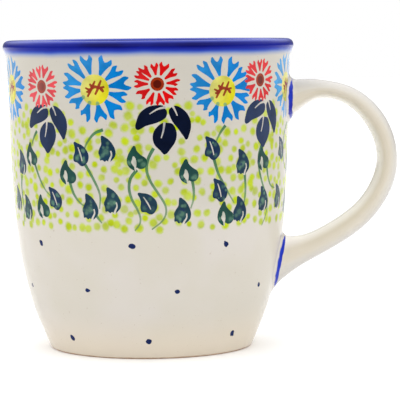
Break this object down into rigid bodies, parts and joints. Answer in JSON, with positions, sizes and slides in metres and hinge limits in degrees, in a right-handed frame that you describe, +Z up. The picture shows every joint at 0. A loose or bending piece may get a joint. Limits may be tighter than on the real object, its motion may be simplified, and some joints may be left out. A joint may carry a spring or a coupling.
{
  "type": "stoneware mug",
  "caption": "Rounded stoneware mug with a flared cobalt lip, an ear-shaped strap handle, stamped flowers, vine leaves and dots on a pale glaze.",
  "frame": {"origin": "centre of the foot's flat underside, on the axis that the body is turned about", "axes": "+Z up along the body's axis, +X from the axis to the handle, +Y to the mug's back when the handle is on the right"},
  "size_m": [0.1211, 0.089, 0.0942],
  "materials": {
    "body_glaze": "glossy clear glaze over an off-white body with a painted pattern",
    "handle_glaze": "glossy clear glaze over cream clay",
    "joint_slip": "cobalt line painted round the joint, under the glaze"
  },
  "bodies": {
    "root": {"cup_body": "body_glaze", "handle": "handle_glaze", "upper_handle_joint": "joint_slip", "lower_handle_joint": "joint_slip"}
  },
  "joints": []
}
